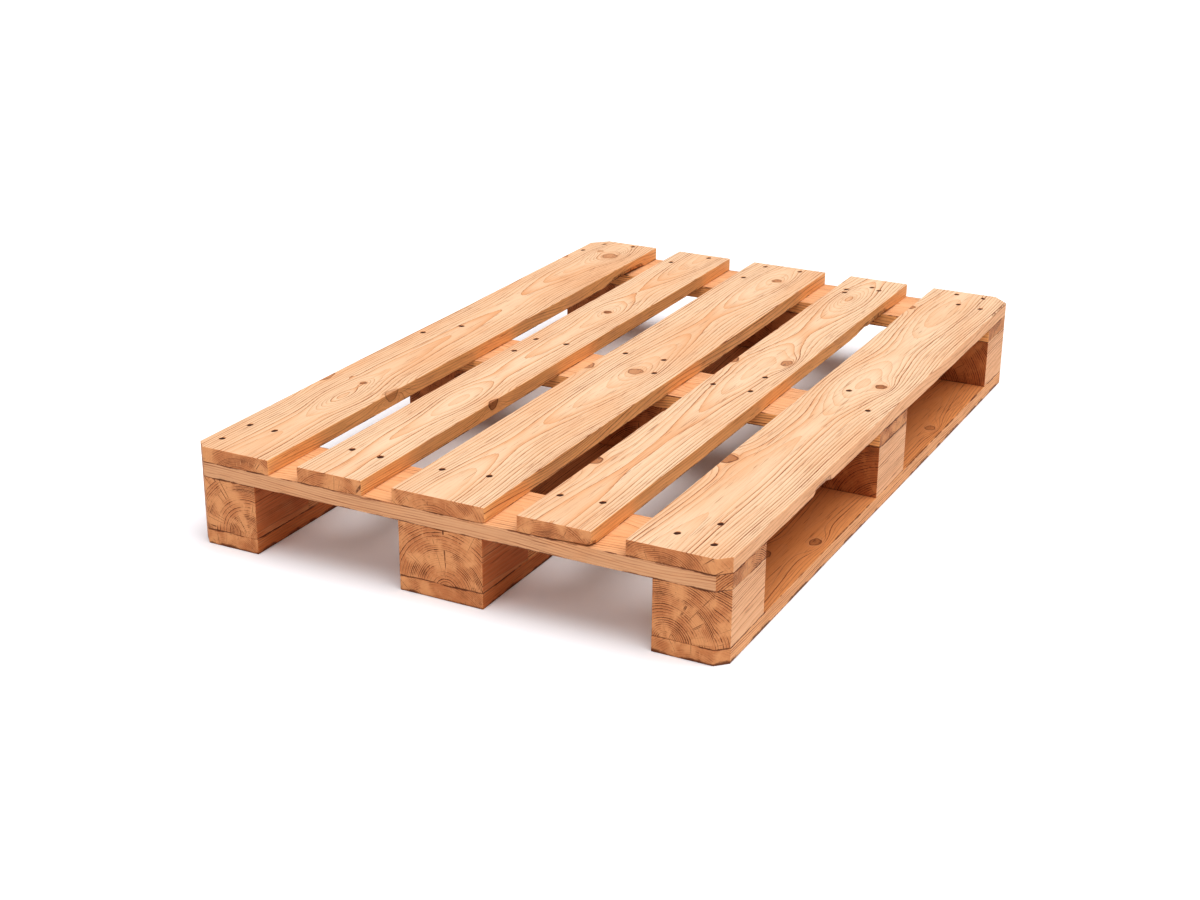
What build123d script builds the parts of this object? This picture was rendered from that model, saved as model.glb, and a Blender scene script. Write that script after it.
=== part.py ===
"""A four-way wooden block pallet, 1200 x 800 mm: deck, cross boards, blocks, bottom boards and nails.

Millimetres. The origin is on the floor under the middle of the pallet, +Z is up, +Y runs along
the 1200 mm length towards the rear end and +X across the 800 mm width towards the right side.
"""

from build123d import *
import os

# Overall plan
pallet_length = 1200.0
pallet_width = 800.0
front_corner_cut = 16.0  # leg of the 45 degree cut down each front corner
rear_corner_cut = 26.0  # the rear corners were cut off further in

# Layers, from the floor up
bottom_board_thickness = 22.0
block_height = 78.0
cross_board_thickness = 22.0
deck_board_thickness = 22.0

# Three rows of blocks across the pallet, each under one cross board
row_depth = 120.0  # along Y: length of a block and width of its cross board
middle_row_shift = 0.0  # of the middle row towards the rear

# Three columns of blocks along the pallet, each on one bottom board
side_column_width = 100.0
centre_column_width = 127.0
centre_column_shift = -5.0  # the centre column stands a little left of the middle

# Deck boards from left to right, sawn to different widths and laid with equal gaps
deck_board_widths = {
    "left": 125.0,
    "left_inner": 102.0,
    "centre": 139.0,
    "right_inner": 105.0,
    "right": 137.0,
}

# Nails: flat heads driven just below the surface
nail_shank_radius = 2.1
nail_head_radius = 4.4
nail_head_thickness = 1.6
nail_point_length = 6.0
nail_recess = 1.2
nail_edge_distance = 10.0  # from a nail's axis to the nearest long edge of the wood it holds
nail_end_distance = 12.0  # from a nail's axis to the nearest end of the wood it holds
deck_nail_hold = 46.0  # depth of a deck nail in the block
bottom_nail_hold = 28.0  # depth of a bottom nail in the block
short_nail_cover = 3.0  # wood left under the point of a nail that ends in the cross board

# Where each nail of a joint stands, as shares of the half width and half depth that it may use.
# They were driven by eye, so no two joints match.
deck_nail_places = {
    ("left", "front"): [(-0.7, 0.8), (0.4, 0.75), (-0.75, -0.45)],
    ("left", "middle"): [(0.0, 0.5), (-0.95, -0.7)],
    ("left", "rear"): [(-0.65, 0.8), (0.8, 1.0), (-1.0, -0.35)],
    ("left_inner", "front"): [(-0.55, 0.6), (0.65, 0.5)],
    ("left_inner", "middle"): [(-0.85, 0.5), (0.5, 0.5), (-0.9, -0.9)],
    ("left_inner", "rear"): [(0.35, 0.95), (-0.85, -0.25)],
    ("centre", "front"): [(-0.9, 0.55), (0.35, 0.75)],
    ("centre", "middle"): [(-0.9, 0.6), (0.35, 0.6), (0.6, -0.7)],
    ("centre", "rear"): [(-0.8, 0.9), (0.45, 0.9), (-0.95, -0.8)],
    ("right_inner", "front"): [(-0.85, 0.5), (0.55, 0.6)],
    ("right_inner", "middle"): [(0.5, 0.6), (-0.85, -0.75), (0.6, -0.8)],
    ("right_inner", "rear"): [(0.1, 0.25), (0.5, 0.0), (-0.75, -0.4), (-0.65, -0.8)],
    ("right", "front"): [(-0.1, 0.8), (-1.0, -0.25), (0.35, -0.45)],
    ("right", "middle"): [(-0.85, 0.7), (0.5, -0.7)],
    ("right", "rear"): [(-1.0, 0.9), (0.25, 0.85), (-0.5, -0.25), (0.5, -0.4)],
}
bottom_nail_places = {
    "front": [(-0.35, 0.45), (0.7, 0.1), (-0.15, -0.8)],
    "middle": [(-0.45, 0.1), (0.5, -0.15), (0.1, 0.95)],
    "rear": [(0.0, 0.3), (0.65, 0.45), (0.2, -0.75)],
}

# Levels
block_base = bottom_board_thickness
block_top = block_base + block_height
cross_board_top = block_top + cross_board_thickness
deck_top = cross_board_top + deck_board_thickness


def row_spans():
    """The stretch along Y of each row of blocks."""
    end, half = pallet_length / 2, row_depth / 2
    return {
        "front": (-end, -end + row_depth),
        "middle": (middle_row_shift - half, middle_row_shift + half),
        "rear": (end - row_depth, end),
    }


def column_spans():
    """The stretch along X of each column of blocks."""
    side, half = pallet_width / 2, centre_column_width / 2
    return {
        "left": (-side, -side + side_column_width),
        "centre": (centre_column_shift - half, centre_column_shift + half),
        "right": (side - side_column_width, side),
    }


def deck_spans():
    """The stretch along X of each deck board, with the free width shared by the gaps."""
    free_width = pallet_width - sum(deck_board_widths.values())
    gap = free_width / (len(deck_board_widths) - 1)
    spans, start = {}, -pallet_width / 2
    for name, width in deck_board_widths.items():
        spans[name] = (start, start + width)
        start += width + gap
    return spans


rows, columns, decks = row_spans(), column_spans(), deck_spans()
full_length = (-pallet_length / 2, pallet_length / 2)
full_width = (-pallet_width / 2, pallet_width / 2)


def timber(x_span, y_span, bottom, top):
    """A square-sawn piece of wood."""
    size = (x_span[1] - x_span[0], y_span[1] - y_span[0], top - bottom)
    middle = (sum(x_span) / 2, sum(y_span) / 2, bottom)
    return Pos(*middle) * Box(*size, align=(Align.CENTER, Align.CENTER, Align.MIN))


def pallet_outline():
    """The pallet's plan with its four corners cut off, as a prism through every layer."""
    x, y = pallet_width / 2, pallet_length / 2
    front, rear = front_corner_cut, rear_corner_cut
    corners = [
        (-x + front, -y),
        (x - front, -y),
        (x, -y + front),
        (x, y - rear),
        (x - rear, y),
        (-x + rear, y),
        (-x, y - rear),
        (-x, -y + front),
    ]
    return extrude(make_face(Polyline(*corners, close=True)), deck_top)


def nail_outline(length, extra_above=0.0):
    """Half of a nail's section, its head's top at the origin and its point straight down."""
    points = [
        (0, extra_above),
        (nail_head_radius, extra_above),
        (nail_head_radius, -nail_head_thickness),
        (nail_shank_radius, -nail_head_thickness),
        (nail_shank_radius, -length + nail_point_length),
        (0, -length),
    ]
    return Plane.XZ * make_face(Polyline(*points, close=True))


def nail(length):
    return revolve(nail_outline(length), Axis.Z)


def nail_hole(length):
    """The nail's own shape with the short bore that its sunken head leaves above it."""
    return revolve(nail_outline(length, nail_recess), Axis.Z)


def common_span(*spans):
    return max(span[0] for span in spans), min(span[1] for span in spans)


def nail_spots(places, x_span, y_span):
    """The nails' axes in a joint, kept off the edges and the ends of its wood."""
    reach_x = (x_span[1] - x_span[0]) / 2 - nail_edge_distance
    reach_y = (y_span[1] - y_span[0]) / 2 - nail_end_distance
    middle_x, middle_y = sum(x_span) / 2, sum(y_span) / 2
    return [(middle_x + u * reach_x, middle_y + v * reach_y) for u, v in places]


def deck_joint(board):
    """The width that a deck board's nails may use and their length, down into a block or not."""
    for column_span in columns.values():
        shared = common_span(decks[board], column_span)
        if shared[1] - shared[0] > 2 * nail_edge_distance + 2 * nail_head_radius:
            depth = deck_board_thickness + cross_board_thickness + deck_nail_hold
            return shared, depth - nail_recess
    depth = deck_board_thickness + cross_board_thickness - short_nail_cover
    return decks[board], depth - nail_recess


def deck_nails_at(board, row):
    """Place and length of each nail that holds a deck board to one row."""
    shared, length = deck_joint(board)
    spots = nail_spots(deck_nail_places[board, row], shared, rows[row])
    return [(Pos(x, y, deck_top - nail_recess), length) for x, y in spots]


def bottom_nails_at(column, row):
    """Place and length of each nail driven up through a bottom board into one block."""
    length = bottom_board_thickness + bottom_nail_hold - nail_recess
    spots = nail_spots(bottom_nail_places[row], columns[column], rows[row])
    return [(Pos(x, y, nail_recess) * Rot(180, 0, 0), length) for x, y in spots]


deck_nails = {board: [n for row in rows for n in deck_nails_at(board, row)] for board in decks}
bottom_nails = {col: [n for row in rows for n in bottom_nails_at(col, row)] for col in columns}
all_nails = [n for group in (deck_nails, bottom_nails) for nails in group.values() for n in nails]
outline = pallet_outline()


def inside(place, x_span, y_span):
    x, y, _ = place.position
    return x_span[0] < x < x_span[1] and y_span[0] < y < y_span[1]


def finished(x_span, y_span, bottom, top):
    """A timber trimmed to the pallet's corners, with a hole for every nail that enters it."""
    wood = timber(x_span, y_span, bottom, top) & outline
    for place, length in all_nails:
        if inside(place, x_span, y_span):
            wood -= place * nail_hole(length)
    return wood.solids()[0]


def wooden_pieces():
    """Every board and block by name."""
    pieces = {}
    for name, span in decks.items():
        pieces[f"deck_board_{name}"] = finished(span, full_length, cross_board_top, deck_top)
    for row, span in rows.items():
        pieces[f"cross_board_{row}"] = finished(full_width, span, block_top, cross_board_top)
        for column, x_span in columns.items():
            pieces[f"block_{row}_{column}"] = finished(x_span, span, block_base, block_top)
    for column, span in columns.items():
        pieces[f"bottom_board_{column}"] = finished(span, full_length, 0, block_base)
    return pieces


def nail_groups():
    """The nails, one group for each board that they hold."""
    groups = {}
    for board, nails in deck_nails.items():
        groups[f"deck_nails_{board}"] = [place * nail(length) for place, length in nails]
    for column, nails in bottom_nails.items():
        groups[f"bottom_nails_{column}"] = [place * nail(length) for place, length in nails]
    return groups


os.makedirs("parts", exist_ok=True)
for name, piece in wooden_pieces().items():
    export_step(piece, f"parts/{name}.step")
for name, nails in nail_groups().items():
    export_step(Compound(children=nails), f"parts/{name}.step")
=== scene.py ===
"""A nailed softwood pallet around its CAD frame: timbers with growth rings, knots and worn edges.

Timbers are shaped in millimetres in their own axes: across the grain, along the grain and up.
"""

import math
from dataclasses import dataclass, field

import bmesh
import bpy
import numpy as np
from mathutils import Matrix, Vector


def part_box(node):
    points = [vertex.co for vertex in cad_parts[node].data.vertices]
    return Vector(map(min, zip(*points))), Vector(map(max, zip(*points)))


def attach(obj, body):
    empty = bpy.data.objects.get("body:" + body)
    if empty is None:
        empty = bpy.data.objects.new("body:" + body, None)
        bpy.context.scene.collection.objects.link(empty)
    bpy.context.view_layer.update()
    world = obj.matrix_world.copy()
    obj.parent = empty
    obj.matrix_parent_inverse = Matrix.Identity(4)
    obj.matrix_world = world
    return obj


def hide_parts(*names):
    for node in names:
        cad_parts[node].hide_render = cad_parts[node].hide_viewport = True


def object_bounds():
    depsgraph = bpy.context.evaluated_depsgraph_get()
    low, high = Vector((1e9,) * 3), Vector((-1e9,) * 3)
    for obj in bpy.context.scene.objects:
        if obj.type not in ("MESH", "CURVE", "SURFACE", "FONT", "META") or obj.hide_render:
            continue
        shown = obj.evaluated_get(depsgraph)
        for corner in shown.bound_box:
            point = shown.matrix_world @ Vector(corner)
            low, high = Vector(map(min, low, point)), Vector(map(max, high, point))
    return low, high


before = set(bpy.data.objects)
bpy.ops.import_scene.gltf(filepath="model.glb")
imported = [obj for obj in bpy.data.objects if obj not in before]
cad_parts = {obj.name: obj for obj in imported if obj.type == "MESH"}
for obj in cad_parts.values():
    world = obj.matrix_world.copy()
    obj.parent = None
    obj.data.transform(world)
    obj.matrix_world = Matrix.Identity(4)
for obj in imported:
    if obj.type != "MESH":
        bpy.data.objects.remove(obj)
cad_low, cad_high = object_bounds()

MM = 0.001
ACROSS, ALONG, UP = 0, 1, 2


# Smooth fields


def waves(points, size, seed, count=28):
    """Smooth noise of about unit height, with features of this size in each direction."""
    rng = np.random.default_rng(seed)
    turns = rng.normal(size=(points.shape[-1], count)) / np.asarray(size, float)[:, None]
    starts = rng.uniform(0, 2 * np.pi, count)
    return np.cos(points @ turns + starts).sum(-1) * math.sqrt(2 / count)


def through(stations, x):
    """A smooth line through (place, value) turning points, level at each of them."""
    at, values = np.array(stations, float).T
    k = np.clip(np.searchsorted(at, x) - 1, 0, len(at) - 2)
    t = np.clip((x - at[k]) / (at[k + 1] - at[k]), 0, 1)
    return values[k] + (values[k + 1] - values[k]) * t * t * (3 - 2 * t)


def ease(x, start, end):
    """From 0 at the start to 1 at the end, level at both."""
    t = np.clip((x - start) / (end - start), 0, 1)
    return t * t * (3 - 2 * t)


def pace_of(mesh, values, points):
    """How fast the values change over the surface at each vertex, per mm."""
    shortest = 0.02
    ends = np.zeros(len(mesh.edges) * 2, np.int32)
    mesh.edges.foreach_get("vertices", ends)
    a, b = ends.reshape(-1, 2).T
    slope = ((values[a] - values[b]) / np.linalg.norm(points[a] - points[b], axis=1).clip(shortest)) ** 2
    total = np.bincount(a, slope, len(values)) + np.bincount(b, slope, len(values))
    return np.sqrt(2 * total / np.bincount(ends, minlength=len(values)))


# What the tree left in each timber


@dataclass
class Knot:
    """A branch cut through by the top face."""

    along: float
    across: float
    radius: float
    stretch: float = 1.0  # along the grain
    tone: float = 1.0  # how dark it is, 0 where only the rings bend


@dataclass
class Wane:
    """A stretch of edge that kept the round of the log, with some of its bark."""

    along: float
    side: int  # -1 left, 1 right
    level: int  # -1 under, 1 on top
    reach: float  # along the edge, to each side of its middle
    radius: float


@dataclass
class Wood:
    """How a timber was cut from its log, which grew round a pith that wanders under its top face."""

    seed: int
    depth: list  # of the pith under the top face, at its turning points along the timber
    pith: list = field(default_factory=lambda: [(-600, 0), (600, 0)])  # its place across
    ring: float = 2.8  # between two growth rings
    knots: list = field(default_factory=list)
    wanes: list = field(default_factory=list)
    faces: float = 0.0  # how orange its wide faces are: their own tone, and painted shade on faces under the deck
    ends: float = 0.0  # how much painted shade darkens its ends, for ends that sit in shadow
    sides: float = 0.0  # from deep orange at -1 to pale at 1; the deep end is painted shade, for sides that sit in shadow
    bold: float = 0.85  # how strongly its rings show on its sides
    shade: float = 1.0  # painted shade that darkens its sides, 1 for none


DECK = {
    "left": Wood(
        11,
        [
            (-600, 60),
            (-430, 62),
            (-340, 58),
            (-230, 62),
            (-60, 64),
            (215, 68),
            (420, 62),
            (510, 59),
            (600, 64),
        ],
        [(-600, 14), (-420, 12), (-200, 4), (100, 2), (300, -10), (600, 0)],
        knots=[
            Knot(-282, 2, 5, 1.2),
            Knot(-296, 66, 12, 1.4, 0.6),
            Knot(-285, -66, 11, 1.8, 0.8),
            Knot(-345, 6, 9, 2.2, 0.0),
            Knot(509, 11, 13, 1.2, 0.7),
            Knot(530, -19, 5.5, 1.2, 0.6),
            Knot(469, -64, 8, 1.2, 0.9),
            Knot(-268, -29, 2.2, 1.2),
        ],
        wanes=[Wane(470, 1, -1, 95, 12)],
        faces=0.12,
        bold=0.45,
    ),
    "left_inner": Wood(
        22,
        [(-600, 62), (-400, 62), (-265, 56.5), (-150, 62), (60, 61), (203, 59), (330, 65), (600, 56)],
        [(-600, 6), (-250, 4), (200, 0), (600, 3)],
        knots=[Knot(-258, 56, 9, 1.5, 1.05), Knot(203, 2, 6.5, 1.15, 1.15)],
        wanes=[Wane(-590, -1, -1, 14, 3)],
        bold=0.45,
    ),
    "centre": Wood(
        33,
        [(-600, 58), (-375, 65), (-45, 57), (240, 64), (508, 57), (600, 60)],
        [(-600, -6), (-380, -8), (-45, 4), (300, 0), (600, 8)],
        knots=[Knot(-42, 7, 11.5, 1.1, 0.8), Knot(-52, -72, 12, 1.2, 0.9), Knot(508, 13, 8.5, 1.1, 0.9)],
    ),
    "right_inner": Wood(
        44,
        [(-600, 61), (-290, 66), (84, 56), (260, 64), (460, 59), (600, 63)],
        [(-600, -6), (-300, -2), (84, -5), (600, -4)],
        knots=[
            Knot(-390, -53, 12, 1.2),
            Knot(80, -57, 12, 1.2),
            Knot(103, 26, 8, 1.7, 0.9),
            Knot(470, -8, 10, 1.8, 0.15),
        ],
        wanes=[Wane(430, 1, -1, 120, 5), Wane(-594, 1, -1, 12, 4)],
        bold=0.4,
    ),
    "right": Wood(
        55,
        [(-600, 59), (-110, 66), (77, 56), (250, 64), (470, 57), (600, 61)],
        [(-600, -20), (-110, -12), (77, -9), (470, -12), (600, -10)],
        ring=3.1,
        knots=[Knot(-300, -66, 14, 1.15), Knot(70, 22, 8.5, 1.05, 1.1), Knot(473, -68, 8, 1.2)],
        wanes=[Wane(-286, 1, -1, 38, 18), Wane(535, 1, 1, 60, 2.2)],
        sides=0.9,
        bold=0.6,
    ),
}
CROSS = {
    "front": Wood(
        61,
        [(-400, 70), (-150, 80), (60, 72), (300, 84), (400, 78)],
        [(-400, 8), (400, -6)],
        ring=2.6,
        faces=0.6,
        sides=1.0,
        bold=0.6,
        shade=0.78,
    ),
    "middle": Wood(62, [(-400, 60), (-50, 70), (250, 58), (400, 64)], [(-400, -8), (400, 10)], faces=0.5),
    "rear": Wood(63, [(-400, 66), (0, 58), (400, 70)], [(-400, 4), (400, -9)], faces=0.5),
}
BLOCKS = {
    "front_left": Wood(71, [(-60, 76), (60, 74)], [(-60, 36), (60, 34)], ring=2.9, sides=-1.0),
    "front_centre": Wood(72, [(-60, 86), (60, 88)], [(-60, 10), (60, 8)], ring=3.3, sides=-1.0, bold=1.0),
    "front_right": Wood(73, [(-60, 82), (60, 80)], [(-60, -29), (60, -27)], ring=2.7, sides=1.0),
    "middle_left": Wood(74, [(-60, 20), (60, 26)], [(-60, -70), (60, -70)], ring=3.4, ends=0.7, sides=-0.7),
    "middle_centre": Wood(
        75,
        [(-60, 110), (60, 108)],
        [(-60, 30), (60, 30)],
        ring=3.2,
        ends=0.7,
        sides=-0.7,
    ),
    "middle_right": Wood(76, [(-60, 112), (60, 108)], [(-60, 66), (60, 62)], ring=3.3, ends=0.9, sides=1.0),
    "rear_left": Wood(77, [(-60, 44), (60, 46)], [(-60, 8), (60, 10)], ring=3.6, ends=0.5, sides=-0.7),
    "rear_centre": Wood(
        78,
        [(-60, 120), (60, 120)],
        [(-60, -40), (60, -36)],
        ring=3.1,
        ends=0.5,
        sides=-0.7,
    ),
    "rear_right": Wood(79, [(-60, 90), (60, 94)], [(-60, -55), (60, -50)], ring=3.2, ends=0.8, sides=1.0),
}
BOTTOM = {
    "left": Wood(
        81,
        [(-600, 60), (-200, 68), (150, 58), (600, 66)],
        [(-600, -8), (600, 6)],
        faces=0.8,
        sides=-0.9,
    ),
    "centre": Wood(
        82,
        [(-600, 70), (-100, 60), (300, 68), (600, 58)],
        [(-600, 5), (600, -5)],
        faces=0.8,
        sides=-0.9,
    ),
    "right": Wood(
        83,
        [(-600, 58), (-300, 64), (100, 56), (600, 66)],
        [(-600, 6), (600, -4)],
        knots=[Knot(-315, -20, 10, 1.3, 0.9), Knot(-245, 28, 8, 1.5, 1.0), Knot(250, 30, 8, 1.3, 0.9)],
        faces=1.0,
        sides=0.7,
    ),
}

NO_KNOT = 9.0  # radii from a knot, where none is near
RINGS_BEND = 0.95  # how far the rings part round a knot
RINGS_CLIMB = 0.9  # how high they rise over it, in knot radii
CLIMB_REACH = 1.7  # how far out they rise, in knot radii
ALONG_FLOW = 1.9  # how much longer along the grain a knot disturbs them
RING_WAVES = ((0.75, (24, 110, 24)), (0.16, (7, 45, 7)))  # height and size of the rings' wobbles
YEAR_WAVES = 0.9  # how far the rings of fat years push the next ones out
YEARS_TOGETHER = 11  # how much wood fat or lean years in a row make
FIRST_RING = 20  # keeps the count of rings above zero
LOBES = 0.05  # how far a knot is from round, in radii


def branch_at(wood, knot, points, top):
    """How far each point is across and along from a branch out of the pith, and its radius there."""
    across, along, up = points.T
    pith_across = through(wood.pith, knot.along)
    pith_up = top - through(wood.depth, knot.along)
    grown = (up - pith_up) / (top - pith_up)
    off = across - pith_across - (knot.across - pith_across) * grown
    on = (along - knot.along) / knot.stretch
    return off, on, knot.radius * np.clip(grown, 0.25, 1.5)


def rings_at(wood, points, top):
    """Growth rings and direction from the pith, and the nearest knot: distance in radii, in mm, tone."""
    across, along, up = points.T
    side, lift = across.copy(), np.zeros(len(points))
    share, reach, tone = np.full(len(points), NO_KNOT), np.zeros(len(points)), np.zeros(len(points))
    for knot in wood.knots:
        off, on, radius = branch_at(wood, knot, points, top)
        flow = np.sqrt(off**2 + (on / ALONG_FLOW) ** 2 + 1e-6)
        side -= off * np.minimum(1.0, (RINGS_BEND * radius / flow) ** 2)
        lift += RINGS_CLIMB * radius * np.exp(-((flow / (CLIMB_REACH * radius)) ** 2))
        distance = np.sqrt(off**2 + on**2 + 1e-6)
        turn = np.arctan2(off, on)
        lobes = np.sin(3 * turn + knot.along) + np.sin(5 * turn - knot.along)
        radii = distance / radius + LOBES * lobes
        nearer = radii < share
        share, reach = np.where(nearer, radii, share), np.where(nearer, distance, reach)
        tone = np.where(nearer, knot.tone, tone)
    outward = [side - through(wood.pith, along), up - top + through(wood.depth, along), 0 * up]
    outward = np.stack(outward, 1)
    grown = np.linalg.norm(outward, axis=1)
    spoke = outward / grown.clip(1)[:, None]
    for n, (height, size) in enumerate(RING_WAVES):
        grown += height * waves(points, size, wood.seed + n)
    grown -= lift
    rings = grown / wood.ring + YEAR_WAVES * waves(grown[:, None], (YEARS_TOGETHER,), wood.seed + 2)
    rings += FIRST_RING
    return {"rings": rings, "spoke": spoke, "knot_radii": share, "knot_reach": reach, "knot_tone": tone}


# Timber meshes


EDGE_STEPS = (0.0, 0.6, 1.4, 2.6, 4.2, 7.0)  # from each edge, where the mesh is finer
CLOSEST = 0.3  # grid lines are never closer than this
EDGE_RADIUS, EDGE_WANDER = 0.75, 0.25  # of a sawn edge, and how much that varies
CHIP_RADIUS = 2.2
HOLE_RADIUS, HOLE_DEPTH = 4.5, 2.3  # past the top of a sunken nail head, so that it shows
HOLE_ALONG = 0.9  # how much a distance along the grain counts, so that holes are longer that way
DISH_RADIUS, DISH_DEPTH = 7.0, 0.3  # where the wood sinks round a nail's hole
CRATER_MESH = 8.5  # from a nail, where the mesh is finer
CREASE = 0.7  # each side of the line where a corner cut begins
CROOK = 0.5  # how far a long timber bends to each side
NO_SEAM = 30.0  # from a seam, where none is near
SMALLEST_CUT = 1.0  # anything less is a square corner
FLOOR_CLIMB = 2.0  # how much further up from the floor the dirt and painted shade go
FLOOR_DIRT_AND_SHADE = 0.8  # how much nearer than a seam the floor counts as being
SUNK = 2.0  # every nail head is within this of its board's face
NAIL_SPREAD = 10.0  # one nail head's corners are within this of each other, other nails' are not


@dataclass
class Layer:
    """What the timbers of one layer of the pallet share."""

    steps: tuple  # between grid lines, in each axis
    seams: tuple  # its faces, -1 under and 1 on top, that lie against other timbers
    nails: tuple = ()  # where nails come through its face
    nail_face: int = 0  # which face that is, -1 under or 1 on top
    turn: float = 0.0  # of the grain, from Y
    rough: float = 1.0  # how chipped its edges are
    figure: float = 1.0  # how boldly rings show at its ends


def grid_lines(half, step, extra=()):
    """Places from -half to half: close together at the ends and evenly spaced between."""
    inner = half - EDGE_STEPS[-1]
    between = np.linspace(-inner, inner, max(2, round(2 * inner / step) + 1))
    ends = np.array([half - s for s in EDGE_STEPS[:-1]])
    lines = np.unique(np.round(np.concatenate([between, ends, -ends, extra]), 4))
    return lines[np.concatenate([[True], np.diff(lines) > CLOSEST])]


def grid_box(lines):
    """Points and outward quads of a box whose faces are divided at these lines, joined at its edges."""
    counts = [len(line) for line in lines]
    corners = []
    for axis in range(3):
        a, b = (axis + 1) % 3, (axis + 2) % 3
        i, j = np.meshgrid(np.arange(counts[a] - 1), np.arange(counts[b] - 1), indexing="ij")
        i, j = i.ravel(), j.ravel()
        for end in (0, counts[axis] - 1):
            steps = [(0, 0), (1, 0), (1, 1), (0, 1)] if end else [(0, 0), (0, 1), (1, 1), (1, 0)]
            quad = np.zeros((len(i), 4, 3), int)
            for n, (di, dj) in enumerate(steps):
                quad[:, n, axis], quad[:, n, a], quad[:, n, b] = end, i + di, j + dj
            corners.append(quad)
    quads = np.concatenate(corners)
    keys = (quads[..., 0] * counts[1] + quads[..., 1]) * counts[2] + quads[..., 2]
    unique, faces = np.unique(keys, return_inverse=True)
    k, rest = unique % counts[2], unique // counts[2]
    j, i = rest % counts[1], rest // counts[1]
    return np.stack([lines[0][i], lines[1][j], lines[2][k]], 1), faces.reshape(-1, 4)


def refine(mesh, spots, level):
    """Divides the faces near each spot on the face at this level, for a nail's crater."""
    bm = bmesh.new()
    bm.from_mesh(mesh)
    bm.edges.index_update()
    edges = set()
    for face in bm.faces:
        middle = face.calc_center_median()
        near = any((middle.xy - Vector(s)).length < CRATER_MESH for s in spots)
        if near and abs(middle.z - level) < 0.01:
            edges.update(face.edges)
    edges = sorted(edges, key=lambda e: e.index)
    bmesh.ops.subdivide_edges(bm, edges=edges, cuts=3, use_grid_fill=True)
    bm.to_mesh(mesh)
    bm.free()


def eased(points, half, wood, rough):
    """The box's edges rounded by a radius that wanders, with chips and stretches of bark edge."""
    seed = wood.seed
    radius = EDGE_RADIUS + EDGE_WANDER * waves(points, (30, 45, 20), seed + 20)
    chips = waves(points, (25, 14, 16), seed + 21) + 0.6 * waves(points, (12, 6, 9), seed + 22)
    radius += rough * CHIP_RADIUS * ease(chips, 2.2, 3.6)
    bark = np.zeros(len(points))
    for wane in wood.wanes:
        here = ease(-np.abs(points[:, ALONG] - wane.along), -wane.reach, -wane.reach * 0.3)
        here *= (np.sign(points[:, ACROSS]) == wane.side) & (np.sign(points[:, UP]) == wane.level)
        size = wane.radius * here * (1 + 0.25 * waves(points, (20, 9, 9), seed + 23))
        corner = np.hypot(half[ACROSS] - abs(points[:, ACROSS]), half[UP] - abs(points[:, UP]))
        bark = np.maximum(bark, here * ease(1.4 * size - corner, -1, 3))
        radius += size
    radius = np.clip(radius, 0.3, 0.95 * min(half))[:, None]
    core = np.clip(points, -(half - radius), half - radius)
    out = points - core
    length = np.linalg.norm(out, axis=1, keepdims=True)
    return np.where(length > radius, core + out * radius / np.maximum(length, 1e-6), points), bark


def craters(points, half, spots, face, seed):
    """A crushed hole round each sunken nail head, and how far each point lies down one."""
    on_face = np.abs(points[:, UP] - face * half[UP]) < 0.3
    down = np.zeros(len(points))
    for n, spot in enumerate(spots):
        away = points[:, :2] - spot
        angle = np.arctan2(away[:, 1], away[:, 0])
        distance = np.hypot(away[:, 0], away[:, 1] * HOLE_ALONG)
        rim = HOLE_RADIUS + 0.2 * np.sin(2 * angle + n + seed) + 0.25 * np.sin(5 * angle + 2 * n)
        hole = 1 - ease(distance, rim - 0.7, rim + 0.35)
        dish = np.exp(-((distance / DISH_RADIUS) ** 2))
        down = np.maximum(down, HOLE_DEPTH * hole + DISH_DEPTH * dish)
    down = np.where(on_face, down, 0)
    return points - np.outer(down * face, (0, 0, 1)), down


def seam_at(points, half, seams, on_floor):
    """How near each point is, in mm, to an edge where this timber lies on another or on the floor."""
    walls = (half[:2] - abs(points[:, :2])).min(1).clip(0)
    near = np.full(len(points), NO_SEAM)
    for face in seams:
        near = np.minimum(near, abs(points[:, UP] - face * half[UP]) + walls)
    if on_floor:
        near = np.minimum(near, (points[:, UP] + half[UP]) / FLOOR_CLIMB + walls - FLOOR_DIRT_AND_SHADE)
    return near


def cut_corners(points, half, cuts):
    """Draws the sides in towards each end, so that they run straight across the cut corners."""
    out = points.copy()
    for (sx, sy), cut in cuts.items():
        past = np.clip(sy * points[:, ALONG] - (half[ALONG] - cut), 0, None)
        band = min(2.5 * cut, 1.6 * half[ACROSS])
        share = np.clip((sx * points[:, ACROSS] - (half[ACROSS] - band)) / band, 0, None)
        out[:, ACROSS] -= sx * past * share
    return out


def crooked(points, half, seed):
    """A slight bend to one side and back to the other."""
    end = half[ALONG]
    bend = through([(-end, 0), (-0.4 * end, 1), (0.3 * end, -1), (end, 0)], points[:, ALONG])
    return CROOK * bend * min(1.0, end / 300) * (-1) ** seed


def corner_cuts(node, turn):
    """The leg of the 45 degree cut at each cut plan corner of a CAD node, in its timber's own axes."""
    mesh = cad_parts[node].data
    low, high = map(Vector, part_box(node))
    centre = (low + high) / 2
    own = turn.inverted()
    size = Vector(map(abs, own @ ((high - low) / MM / 2)))
    points = np.array([own @ (v.co - centre) for v in mesh.vertices]) / MM
    cuts = {}
    for sx in (-1, 1):
        for sy in (-1, 1):
            gaps = (size.x - sx * points[:, 0]) + (size.y - sy * points[:, 1])
            if gaps.min() >= SMALLEST_CUT:
                cuts[sx, sy] = float(gaps.min())
    return cuts


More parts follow.
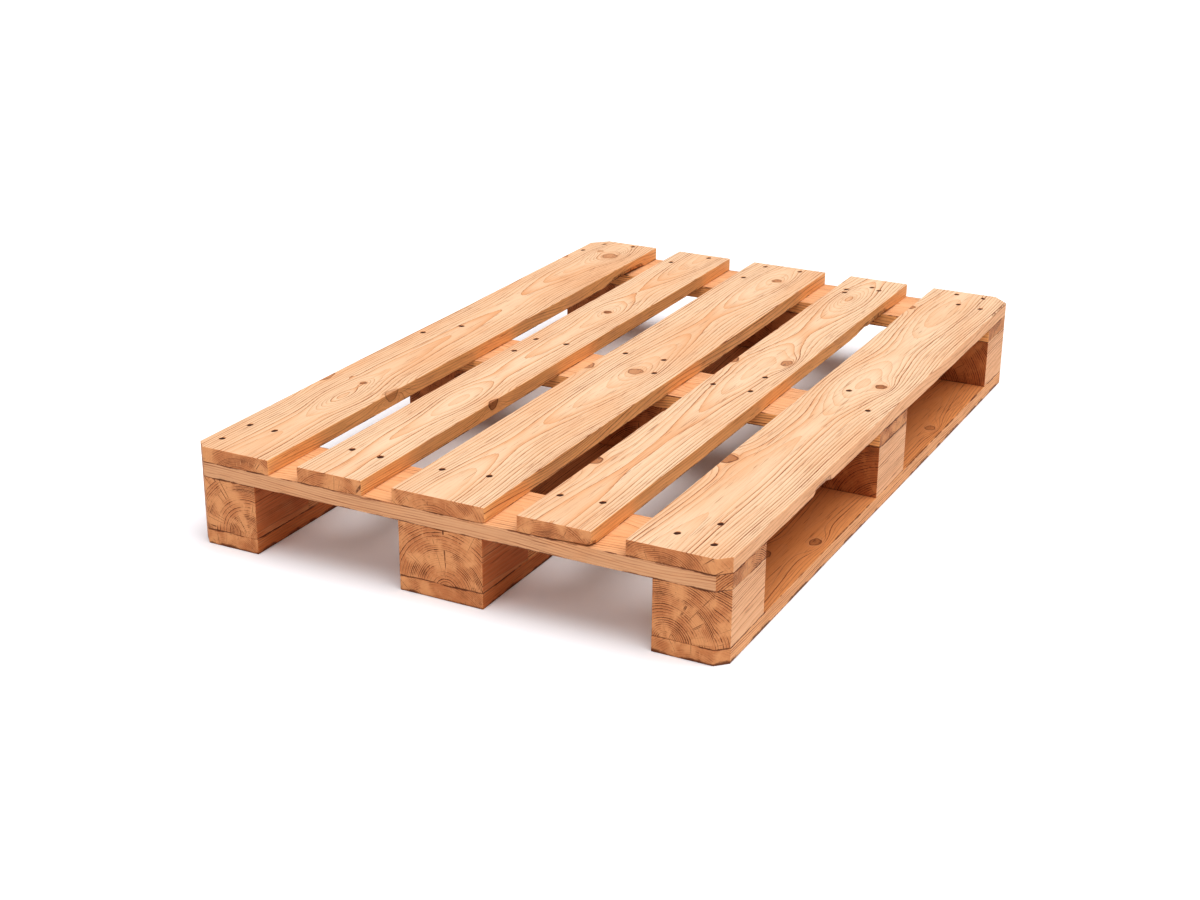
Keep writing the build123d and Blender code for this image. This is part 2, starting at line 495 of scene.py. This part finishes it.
def nail_axes(nodes, level):
    """Where the nails of these CAD nodes come to the given level, one point for each nail."""
    found = []
    for node in nodes:
        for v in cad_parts[node].data.vertices:
            if abs(v.co.z - level) > SUNK * MM:
                continue
            group = next((g for g in found if (g[0] - v.co.xy).length < NAIL_SPREAD * MM), None)
            if group is None:
                found.append([v.co.xy.copy()])
            else:
                group.append(v.co.xy.copy())
    middles = []
    for group in found:
        xs, ys = [p.x for p in group], [p.y for p in group]
        middles.append(Vector(((min(xs) + max(xs)) / 2, (min(ys) + max(ys)) / 2)))
    return middles


def timber_mesh(node, half, cuts, spots, layer):
    """The timber's plain box, divided finely enough to be shaped."""
    starts = [sy * (half[ALONG] - cut) for (_, sy), cut in cuts.items()]
    creases = [start + step for start in starts for step in (-CREASE, 0, CREASE)]
    lines = [
        grid_lines(half[ACROSS], layer.steps[ACROSS]),
        grid_lines(half[ALONG], layer.steps[ALONG], creases),
        grid_lines(half[UP], layer.steps[UP]),
    ]
    points, faces = grid_box(lines)
    mesh = bpy.data.meshes.new(node)
    mesh.from_pydata(points.tolist(), [], faces.tolist())
    if spots:
        refine(mesh, spots, layer.nail_face * half[UP])
    return mesh


def store(mesh, fields):
    """Keeps each field on the mesh's vertices, for the material to read."""
    for name, values in fields.items():
        kind, part = ("FLOAT_VECTOR", "vector") if values.ndim > 1 else ("FLOAT", "value")
        data = mesh.attributes.new(name, kind, "POINT").data
        data.foreach_set(part, values.astype(np.float32).ravel())


def timber(node, wood, slot, layer):
    """A piece of wood in a CAD node's place, its grain along Y or turned to X."""
    low, high = map(Vector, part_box(node))
    centre = (low + high) / 2
    turned = Matrix.Rotation(layer.turn, 3, "Z")
    half = np.array([abs(x) for x in turned.inverted() @ (high - low)]) / MM / 2
    cuts = corner_cuts(node, turned)
    own = [(turned.inverted() @ (Vector((*n, 0)) - centre)).xy / MM for n in layer.nails]
    spots = [s for s in own if abs(s.x) < half[ACROSS] and abs(s.y) < half[ALONG]]
    mesh = timber_mesh(node, half, cuts, spots, layer)

    flat = np.zeros(len(mesh.vertices) * 3, np.float32)
    mesh.vertices.foreach_get("co", flat)
    flat = flat.reshape(-1, 3).astype(float)
    shaped, bark = eased(flat, half, wood, layer.rough)
    shaped, hole = craters(shaped, half, spots, layer.nail_face, wood.seed)
    shaped = cut_corners(shaped, half, cuts)
    shaped[:, ACROSS] += crooked(flat, half, wood.seed)
    mesh.vertices.foreach_set("co", (shaped * MM).astype(np.float32).ravel())

    fields = rings_at(wood, shaped, half[UP])
    fields["hole"], fields["bark"] = hole, bark
    fields["seam"] = seam_at(flat, half, layer.seams, low.z < 1 * MM)
    fields["pace"] = pace_of(mesh, fields["rings"], shaped)
    store(mesh, fields)
    mesh.shade_smooth()
    mesh.update()
    piece = bpy.data.objects.new(f"wood_{node}", mesh)
    bpy.context.collection.objects.link(piece)
    piece.location = centre
    piece.rotation_euler.z = layer.turn
    mesh.materials.append(wood_material(node, wood, slot, layer.figure))
    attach(piece, "root")
    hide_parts(node)


# Materials


class Nodes:
    """Short names for building a node tree."""

    def __init__(self, name):
        self.material = bpy.data.materials.new(name)
        self.material.use_nodes = True
        self.tree = self.material.node_tree
        self.shader = self.tree.nodes["Principled BSDF"]

    def add(self, kind, **settings):
        node = self.tree.nodes.new(kind)
        for key, value in settings.items():
            setattr(node, key, value)
        return node

    def put(self, socket, value):
        if isinstance(value, bpy.types.NodeSocket):
            self.tree.links.new(value, socket)
        else:
            socket.default_value = value

    def math(self, operation, *values, clamp=False):
        node = self.add("ShaderNodeMath", operation=operation, use_clamp=clamp)
        for socket, value in zip(node.inputs, values):
            self.put(socket, value)
        return node.outputs[0]

    def times(self, first, *others):
        for other in others:
            first = self.math("MULTIPLY", first, other)
        return first

    def span(self, value, low, high, to_low=0.0, to_high=1.0, kind="SMOOTHSTEP"):
        """The value's place between low and high, brought between the last two numbers."""
        node = self.add("ShaderNodeMapRange", interpolation_type=kind)
        for socket, given in zip(node.inputs, (value, low, high, to_low, to_high)):
            self.put(socket, given)
        return node.outputs[0]

    def attribute(self, name, output="Fac"):
        return self.add("ShaderNodeAttribute", attribute_name=name).outputs[output]

    def noise(self, vector, scale, detail=2.0, shift=0.0, roughness=0.5):
        """Noise with features of 1/scale metres in each direction."""
        place = self.add("ShaderNodeMapping")
        self.put(place.inputs["Vector"], vector)
        self.put(place.inputs["Scale"], scale)
        self.put(place.inputs["Location"], (shift, 0.7 * shift, 0.3 * shift))
        node = self.add("ShaderNodeTexNoise")
        self.put(node.inputs["Vector"], place.outputs[0])
        self.put(node.inputs["Scale"], 1.0)
        self.put(node.inputs["Detail"], detail)
        self.put(node.inputs["Roughness"], roughness)
        return node.outputs["Fac"]

    def mix(self, factor, a, b, blend="MIX"):
        node = self.add("ShaderNodeMix", data_type="RGBA", blend_type=blend)
        self.put(node.inputs["Factor"], factor)
        self.put(node.inputs["A"], a)
        self.put(node.inputs["B"], b)
        return node.outputs["Result"]

    def bump(self, height, strength, distance):
        node = self.add("ShaderNodeBump")
        self.put(node.inputs["Height"], height)
        node.inputs["Strength"].default_value = strength
        node.inputs["Distance"].default_value = distance
        self.put(self.shader.inputs["Normal"], node.outputs[0])


def colour(red, green, blue):
    """An sRGB colour from 0 to 255 as Blender's linear one."""
    shares = [v / 255 for v in (red, green, blue)]
    return (*[s / 12.92 if s <= 0.04 else ((s + 0.055) / 1.055) ** 2.4 for s in shares], 1.0)


def between(share, places, colours):
    """The colour at this share along a row of colours."""
    return tuple(float(np.interp(share, places, channel)) for channel in zip(*colours))


EARLY, LATE, AMBER = colour(223, 195, 166), colour(124, 66, 34), colour(212, 156, 112)
ORANGE_FACE_AND_SHADE = colour(212, 150, 98)  # a deeper orange wide face: its own tone, and painted shade on faces under the deck
SAWN_AND_SHADED_SIDES = [colour(188, 102, 44), colour(243, 184, 122), colour(226, 177, 137)]  # deep, usual and pale sides; the deep one is painted shade, for sides in shadow
PAINTED_END_SHADE = (0.80, 0.62, 0.46, 1.0)  # painted shade: what an end in shadow is multiplied by
# the pale end colour is the wood's own pale patches and scuffs, and also painted sheen and painted
# highlights
END, END_LATE, END_PALE_AND_SHEEN = colour(184, 124, 82), colour(84, 42, 20), colour(214, 160, 114)
KNOT, KNOT_RIM = colour(184, 124, 80), colour(92, 50, 26)
# painted shade in the nail holes; dirt on bark edges, and dirt with painted shade along the seams
HOLE_SHADE, DIRT_AND_SHADE = colour(40, 18, 9), colour(96, 52, 30)
RUST, DARK_STEEL = colour(98, 56, 36), colour(52, 30, 20)

SEED_STEP = 3.7  # moves the noise of one timber away from the next one's


class WoodNodes(Nodes):
    """The node tree of one timber, with what its faces, ends and flaws all read."""

    def __init__(self, name, wood):
        super().__init__(name)
        self.wood = wood
        self.shift = SEED_STEP * wood.seed
        place = self.add("ShaderNodeTexCoord")
        self.here = place.outputs["Object"]
        facing = self.add("ShaderNodeSeparateXYZ")
        self.put(facing.inputs[0], place.outputs["Normal"])
        self.end = self.span(self.math("ABSOLUTE", facing.outputs["Y"]), 0.35, 0.65)
        self.up = self.math("ABSOLUTE", facing.outputs["Z"])
        self.pace = self.math("MAXIMUM", self.attribute("pace"), 0.01)
        self.fibre = self.grain((520, 12, 520), 4, 0, 0.65)
        self.worn = self.grain((160, 160, 160), 4, 0, 0.65)

    def grain(self, scale, detail, step=0, roughness=0.5):
        """Noise over this timber; each step gives another pattern."""
        return self.noise(self.here, scale, detail, self.shift + step, roughness)

    def rings(self):
        """How far each year's ring has grown, the dark line that ends it and the darkening before."""
        fray = self.math("SUBTRACT", self.grain((420, 26, 420), 3, 2), 0.5)
        fray = self.times(fray, self.math("ADD", self.times(self.pace, 1.2), 0.06))
        rings = self.math("ADD", self.attribute("rings"), fray)
        grown = self.math("FRACT", rings)
        years = self.add("ShaderNodeTexWhiteNoise", noise_dimensions="1D")
        self.put(years.inputs["W"], self.math("FLOOR", rings))
        year = self.span(self.math("POWER", years.outputs["Value"], 1.5), 0, 1, 0.28, 1.25, "LINEAR")
        patchy = self.span(self.grain((60, 9, 60), 3), 0.3, 0.7, 0.3, 1.25, "LINEAR")
        faint = self.span(self.pace, 0.03, 0.16, 0.4, 1.0)
        before_winter = self.math("DIVIDE", self.math("SUBTRACT", 1.0, grown), self.pace)
        narrowest = self.span(self.end, 0, 1, 0.4, 0.2)
        widest = self.span(self.end, 0, 1, 1.8, 1.5)
        line = self.span(before_winter, narrowest, widest, 1.0, 0.0)
        late = self.math("MULTIPLY", self.times(line, year), self.times(patchy, faint), clamp=True)
        summer = self.times(self.math("POWER", grown, 2.2), self.span(year, 0.3, 1.0, 0.4, 0.95))
        return grown, late, summer

    def along_grain(self, late, summer):
        """Wide faces and sides."""
        wood = self.wood
        cloud = self.grain((14, 4, 14), 3, 5)
        # deeper orange wide faces: their own tone, and painted shade on those under the deck
        wide = between(wood.faces, (0, 1), (EARLY, ORANGE_FACE_AND_SHADE))
        wide = self.mix(self.span(cloud, 0.35, 0.75, 0.0, 0.45), wide, AMBER)
        wide = self.mix(summer, wide, AMBER)
        # the deep side colour and the shade factor are painted shade
        side_tone_and_shade = between(wood.sides, (-1, 0, 1), SAWN_AND_SHADED_SIDES)
        side = self.mix(self.times(summer, wood.bold), (*[c * wood.shade for c in side_tone_and_shade[:3]], 1.0), AMBER)
        blotches = self.grain((34, 12, 50), 3, 11, 0.6)
        side = self.mix(self.span(blotches, 0.5, 0.72, 0.0, 0.5), side, AMBER)
        base = self.mix(self.span(self.up, 0.8, 0.4, 0.0, 0.85), wide, side)
        return self.mix(self.times(late, self.span(self.up, 0.4, 0.8, wood.bold, 1.0)), base, LATE)

    def across_grain(self, grown, late, figure):
        """Sawn ends: rings that show in patches, stains, scuffs and cracks out from the pith, painted sheen
        along the rays, painted highlights beside the rings and painted shade on ends in shadow.
        """
        spoke = self.attribute("spoke", "Vector")
        rays = self.noise(spoke, (2.2, 2.2, 2.2), 1, self.shift + 7)
        patches = self.grain((40, 40, 40), 3, 3)
        stains = self.math("ADD", self.times(rays, 0.25), self.times(patches, 0.75))
        crisp = self.times(self.span(stains, 0.58, 0.48, 0.15, 1.0), figure)
        crack = self.noise(spoke, (4, 4, 4), 1, self.shift + 12)
        crack = self.math("ABSOLUTE", self.math("SUBTRACT", crack, 0.5))
        crack = self.times(self.span(crack, 0.003, 0.011, 1.0, 0.0), self.span(patches, 0.52, 0.6))
        # painted highlight: a pale stripe just past each ring's dark line, as if the rings stood proud
        ring_highlight = self.times(self.span(self.math("DIVIDE", grown, self.pace), 0.2, 1.1, 1.0, 0.0), crisp)
        scuffs = self.grain((260, 260, 60), 3, 1, 0.6)
        # where the stains run high the end turns pale: the wood's own patches, and painted sheen along the
        # rays
        layers = [
            (self.span(stains, 0.42, 0.62, 0.0, 0.75), END_PALE_AND_SHEEN),
            (self.span(stains, 0.42, 0.32, 0.0, 0.25), END_LATE),
            (self.times(crack, 0.8), END_LATE),
            (self.times(ring_highlight, 0.5), END_PALE_AND_SHEEN),
            (self.times(self.span(late, 0, 0.6, 0, 0.95), crisp), END_LATE),
            (self.span(scuffs, 0.62, 0.74, 0.0, 0.6), END_PALE_AND_SHEEN),
            (self.span(self.worn, 0.4, 0.3, 0.0, 0.35), END_LATE),
        ]
        end = END
        for share, layer in layers:
            end = self.mix(share, end, layer)
        # painted shade on ends that sit in shadow
        return self.mix(self.wood.ends, end, PAINTED_END_SHADE, "MULTIPLY")

    def with_fibres(self, surface):
        """Fine fibres and a few bolder dark threads, fainter at the ends."""
        lengthwise = self.span(self.end, 0, 1, 1.0, 0.25)
        fine = self.span(self.fibre, 0.45, 0.72, 0.0, 0.2)
        threads = self.span(self.grain((620, 16, 620), 2, 9), 0.63, 0.72, 0.0, 0.55)
        surface = self.mix(self.times(fine, lengthwise), surface, LATE)
        return self.mix(self.times(threads, lengthwise), surface, LATE)

    def with_knots(self, surface):
        """A halo, a ringed and cracked knot, and its dark rim."""
        radii, tone = self.attribute("knot_radii"), self.attribute("knot_tone")
        halo = self.times(self.span(radii, 2.2, 1.0), tone, 0.35)
        surface = self.mix(halo, surface, AMBER)
        rings = self.math("SINE", self.times(self.attribute("knot_reach"), 3.6))
        knot = self.mix(self.span(tone, 0.8, 1.5, 0.0, 0.75), KNOT, KNOT_RIM)
        knot = self.mix(self.span(rings, -1, 1, 0.0, 0.35), knot, KNOT_RIM)
        cracks = self.span(self.grain((190, 90, 190), 2, 8), 0.56, 0.64, 0.0, 0.85)
        knot = self.mix(self.times(cracks, self.span(tone, 0.4, 0.9)), knot, KNOT_RIM)
        inside = self.math("MULTIPLY", self.span(radii, 1.08, 0.95), self.times(tone, 0.8), clamp=True)
        surface = self.mix(inside, surface, knot)
        from_rim = self.math("ABSOLUTE", self.math("SUBTRACT", radii, 0.96))
        rim = self.math("MAXIMUM", self.math("SUBTRACT", 1.0, self.times(from_rim, 7.0)), 0.0)
        rim = self.math("MULTIPLY", rim, self.times(tone, 0.7), clamp=True)
        return self.mix(rim, surface, KNOT_RIM)

    def with_bark(self, surface):
        """Patches of torn bark with a dirty outline."""
        bark = self.attribute("bark")
        torn = self.times(self.span(bark, 0.1, 0.6), self.span(self.worn, 0.4, 0.62, 0.1, 0.7))
        edge = self.times(self.span(bark, 0.05, 0.25), self.span(bark, 0.5, 0.3), 0.5)
        return self.mix(self.math("MAXIMUM", torn, edge), surface, DIRT_AND_SHADE)

    def with_dirt_and_shade(self, surface):
        """Dirt and painted shade in stretches along the seams and where the timber meets the floor, and
        painted shade in the nail holes.
        """
        seam = self.math("ADD", self.times(self.attribute("seam"), 0.65), self.times(self.worn, 2.0))
        stretches = self.span(self.grain((26, 26, 26), 1, 4), 0.38, 0.6, 0.0, 1.1)
        seam = self.span(self.math("ADD", seam, stretches), 1.3, 2.5, 0.85, 0.0)
        # dirt and painted shade along the seams
        surface = self.mix(seam, surface, DIRT_AND_SHADE)
        # painted shade in the nail holes
        return self.mix(self.span(self.attribute("hole"), 0.6, 1.9), surface, HOLE_SHADE)

    def relief(self, late):
        """Raised ring lines, fibres and saw marks."""
        saw = self.grain((30, 420, 60), 1)
        height = self.math("ADD", self.times(late, 0.6), self.times(self.fibre, 0.9))
        self.bump(self.math("ADD", height, self.times(saw, 0.35)), 0.35, 0.0006)


def wood_material(node, wood, slot, figure):
    """Softwood with its timber's own rings and knots; figure is how boldly rings show at its ends."""
    n = WoodNodes(f"{slot}_{node}", wood)
    grown, late, summer = n.rings()
    surface = n.mix(n.end, n.along_grain(late, summer), n.across_grain(grown, late, figure))
    for add in (n.with_fibres, n.with_knots, n.with_bark, n.with_dirt_and_shade):
        surface = add(surface)
    n.put(n.shader.inputs["Base Color"], surface)
    n.put(n.shader.inputs["Roughness"], n.span(n.fibre, 0.3, 0.7, 0.58, 0.74, "LINEAR"))
    n.shader.inputs["Specular IOR Level"].default_value = 0.32
    n.relief(late)
    return n.material


def nail_material():
    """Steel wire, browned with rust in patches."""
    n = Nodes("nail_steel")
    here = n.add("ShaderNodeTexCoord").outputs["Object"]
    rust = n.noise(here, (420, 420, 420), 3)
    n.put(n.shader.inputs["Base Color"], n.mix(n.span(rust, 0.4, 0.65), DARK_STEEL, RUST))
    n.put(n.shader.inputs["Roughness"], n.span(rust, 0.3, 0.7, 0.5, 0.85))
    n.put(n.shader.inputs["Metallic"], n.span(rust, 0.4, 0.65, 0.35, 0.05))
    n.bump(rust, 0.4, 0.0004)
    return n.material


# The pallet


def build_pallet():
    deck_nails = [f"deck_nails_{name}" for name in DECK]
    bottom_nails = [f"bottom_nails_{name}" for name in BOTTOM]
    top = nail_axes(deck_nails, cad_high.z)
    under = nail_axes(bottom_nails, cad_low.z)
    deck = Layer(steps=(2.6, 4.0, 3.5), seams=(-1,), nails=top, nail_face=1, figure=0.6)
    bottom = Layer(steps=(3.2, 5.0, 3.5), seams=(1,), nails=under, nail_face=-1, figure=0.35)
    cross = Layer(steps=(3.0, 4.0, 3.5), seams=(-1, 1), turn=-math.pi / 2)
    blocks = Layer(steps=(3.0, 4.0, 3.0), seams=(-1, 1), rough=0.6)
    for name, wood in DECK.items():
        timber(f"deck_board_{name}", wood, "deck_wood", deck)
    for name, wood in BOTTOM.items():
        timber(f"bottom_board_{name}", wood, "deck_wood", bottom)
    for name, wood in CROSS.items():
        timber(f"cross_board_{name}", wood, "deck_wood", cross)
    for name, wood in BLOCKS.items():
        timber(f"block_{name}", wood, "block_wood", blocks)
    steel = nail_material()
    for node in deck_nails + bottom_nails:
        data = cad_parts[node].data
        data.materials.clear()
        data.materials.append(steel)


# Studio


FLOOR_GAP = 0.2 * MM  # keeps the floor and the undersides apart, seen from below


def stage():
    """A plain pale floor with no edge in view."""
    bpy.ops.mesh.primitive_plane_add(size=40, location=(0, 0, cad_low.z - FLOOR_GAP))
    floor = bpy.context.object
    floor.name = "studio_floor"
    n = Nodes("studio_floor")
    n.shader.inputs["Base Color"].default_value = (0.86, 0.87, 0.9, 1)
    n.shader.inputs["Roughness"].default_value = 0.9
    n.shader.inputs["Specular IOR Level"].default_value = 0.1
    floor.data.materials.append(n.material)


def softbox(name, toward, spread, strength, tint):
    """A far, wide light: toward points from the pallet to it, and spread is its angle in degrees."""
    data = bpy.data.lights.new(name, "SUN")
    data.angle, data.energy, data.color = math.radians(spread), strength, tint
    lamp = bpy.data.objects.new(name, data)
    bpy.context.collection.objects.link(lamp)
    lamp.rotation_euler = Vector(toward).to_track_quat("Z", "Y").to_euler()


def light():
    """A pale surround, a wide key from above and a weaker front light."""
    world = bpy.data.worlds.new("studio")
    bpy.context.scene.world = world
    world.use_nodes = True
    background = world.node_tree.nodes["Background"]
    background.inputs["Color"].default_value = (0.98, 0.96, 1.0, 1)
    background.inputs["Strength"].default_value = 0.24
    softbox("key", (0.25, 0.05, 1.0), 60, 2.2, (1.0, 0.995, 0.985))
    softbox("front", (0.1, -1.0, 0.65), 60, 0.85, (1.0, 1.0, 1.0))
    bpy.context.scene.view_settings.view_transform = "Standard"
    bpy.context.scene.view_settings.look = "High Contrast"


def camera():
    """Beyond the front right corner, above the deck and looking down over it."""
    data = bpy.data.cameras.new("camera")
    data.lens, data.sensor_width = 56.1, 36.0
    view = bpy.data.objects.new("camera", data)
    bpy.context.collection.objects.link(view)
    eye, aim, roll = Vector((1.185, -2.460, 1.091)), Vector((0.018, -0.194, 0.072)), math.radians(0.38)
    look = (aim - eye).to_track_quat("-Z", "Y").to_matrix().to_4x4()
    view.matrix_world = Matrix.Translation(eye) @ look @ Matrix.Rotation(roll, 4, "Z")
    bpy.context.scene.camera = view


camera()
stage()
light()
build_pallet()
